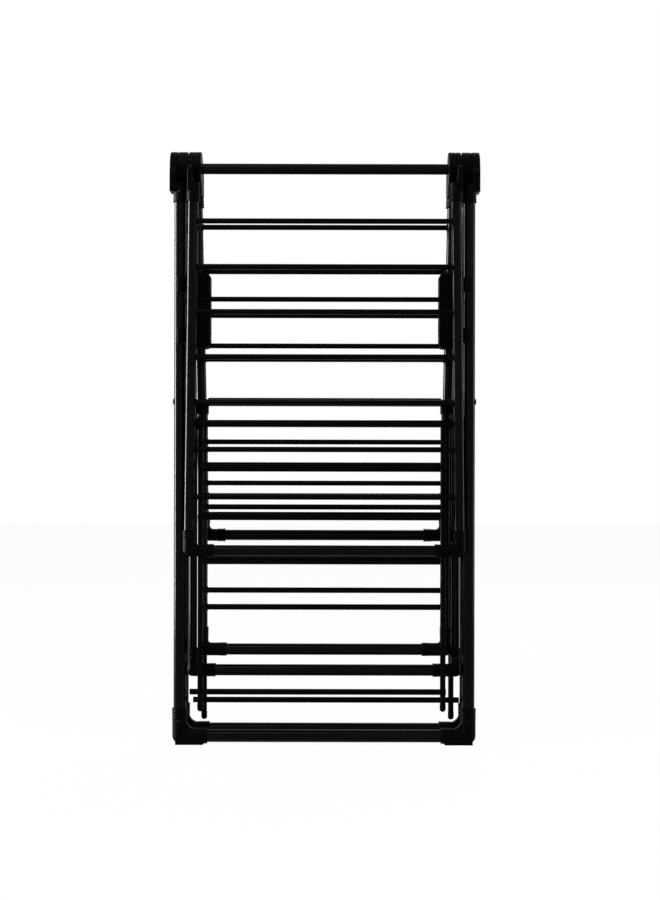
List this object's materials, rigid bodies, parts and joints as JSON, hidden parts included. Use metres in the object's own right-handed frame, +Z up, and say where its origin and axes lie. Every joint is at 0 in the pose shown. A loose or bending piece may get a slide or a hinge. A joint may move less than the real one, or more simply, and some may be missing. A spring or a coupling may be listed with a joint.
{
  "type": "folding tiered rack",
  "caption": "Free-standing tubular rack, folded flat: leg frames hinged at the top, rod wings on wire stays, and a slatted lower shelf with a spreader.",
  "frame": {"origin": "on the floor, under the middle of the folded rack", "axes": "+X to the rack's right, +Y to its rear, +Z up"},
  "size_m": [0.559, 0.1094, 1.0614],
  "materials": {
    "tube_coating": "satin powder coat",
    "rod_coating": "satin powder coat",
    "fitting_plastic": "fine-grained moulded",
    "pin_steel": "blackened steel"
  },
  "bodies": {
    "front_legs": {"front_foot_bar": "tube_coating", "front_foot_elbows": "fitting_plastic", "front_leg_caps": "fitting_plastic", "front_leg_left": "tube_coating", "front_leg_right": "tube_coating", "front_notched_plates": "fitting_plastic", "front_pivot_pins": "pin_steel", "front_plate_clips": "fitting_plastic", "front_stop_rod": "rod_coating", "hinge_end_buttons": "fitting_plastic", "hinge_rod": "pin_steel", "top_bar": "tube_coating"},
    "rear_legs": {"rear_foot_bar": "tube_coating", "rear_foot_elbows": "fitting_plastic", "rear_leg_caps": "fitting_plastic", "rear_leg_left": "tube_coating", "rear_leg_right": "tube_coating", "rear_notched_plates": "fitting_plastic", "rear_pivot_pins": "pin_steel", "rear_pivot_spacers": "fitting_plastic", "rear_plate_clips": "fitting_plastic", "rear_stop_rod": "rod_coating"},
    "front_wing": {"front_wing_caps": "fitting_plastic", "front_wing_elbows": "fitting_plastic", "front_wing_end_bar": "tube_coating", "front_wing_rods": "rod_coating", "front_wing_stay_brackets": "fitting_plastic", "front_wing_tube_left": "tube_coating", "front_wing_tube_right": "tube_coating"},
    "rear_wing": {"rear_wing_caps": "fitting_plastic", "rear_wing_elbows": "fitting_plastic", "rear_wing_end_bar": "tube_coating", "rear_wing_rods": "rod_coating", "rear_wing_stay_brackets": "fitting_plastic", "rear_wing_tube_left": "tube_coating", "rear_wing_tube_right": "tube_coating"},
    "front_stay": {"front_stay_tips": "fitting_plastic", "front_stay_wire": "rod_coating"},
    "rear_stay": {"rear_stay_tips": "fitting_plastic", "rear_stay_wire": "rod_coating"},
    "spreader": {"spreader_elbows": "fitting_plastic", "spreader_end_bar": "tube_coating", "spreader_pivot_eyes": "fitting_plastic", "spreader_tube_left": "tube_coating", "spreader_tube_right": "tube_coating"},
    "shelf": {"shelf_brace_bars": "rod_coating", "shelf_elbows": "fitting_plastic", "shelf_end_bar": "tube_coating", "shelf_pivot_eyes": "fitting_plastic", "shelf_rods": "rod_coating", "shelf_top_bar": "tube_coating", "shelf_tube_left": "tube_coating", "shelf_tube_right": "tube_coating"}
  },
  "joints": [
    {"name": "rear_legs_fold", "type": "hinge", "parent": "front_legs", "child": "rear_legs", "pos_m": [0, 0, 1.0314], "axis": [1, 0, 0], "range_deg": [0, 40]},
    {"name": "front_wing_lift", "type": "hinge", "parent": "front_legs", "child": "front_wing", "pos_m": [0, 0, 1.0314], "axis": [-1, 0, 0], "range_deg": [0, 88]},
    {"name": "rear_wing_lift", "type": "hinge", "parent": "rear_legs", "child": "rear_wing", "pos_m": [0, 0, 1.0314], "axis": [1, 0, 0], "range_deg": [0, 88]},
    {"name": "front_stay_swing", "type": "hinge", "parent": "front_wing", "child": "front_stay", "pos_m": [0, -0.025, 0.573], "axis": [1, 0, 0], "range_deg": [0, 145.99]},
    {"name": "rear_stay_swing", "type": "hinge", "parent": "rear_wing", "child": "rear_stay", "pos_m": [0, 0.025, 0.573], "axis": [-1, 0, 0], "range_deg": [0, 142.51]},
    {"name": "spreader_swing", "type": "hinge", "parent": "front_legs", "child": "spreader", "pos_m": [0, -0.0255, 0.612], "axis": [1, 0, 0], "range_deg": [0, 73.3]},
    {"name": "shelf_swing", "type": "hinge", "parent": "rear_legs", "child": "shelf", "pos_m": [0, 0.0255, 0.612], "axis": [-1, 0, 0], "range_deg": [0, 77.3]}
  ],
  "couplings": [
    {"joint": "front_stay_swing", "follows": "front_wing_lift", "ratio": 1.6533},
    {"joint": "rear_stay_swing", "follows": "rear_wing_lift", "ratio": 1.6138},
    {"joint": "spreader_swing", "follows": "rear_legs_fold", "ratio": 1.82},
    {"joint": "shelf_swing", "follows": "rear_legs_fold", "ratio": 1.92}
  ]
}
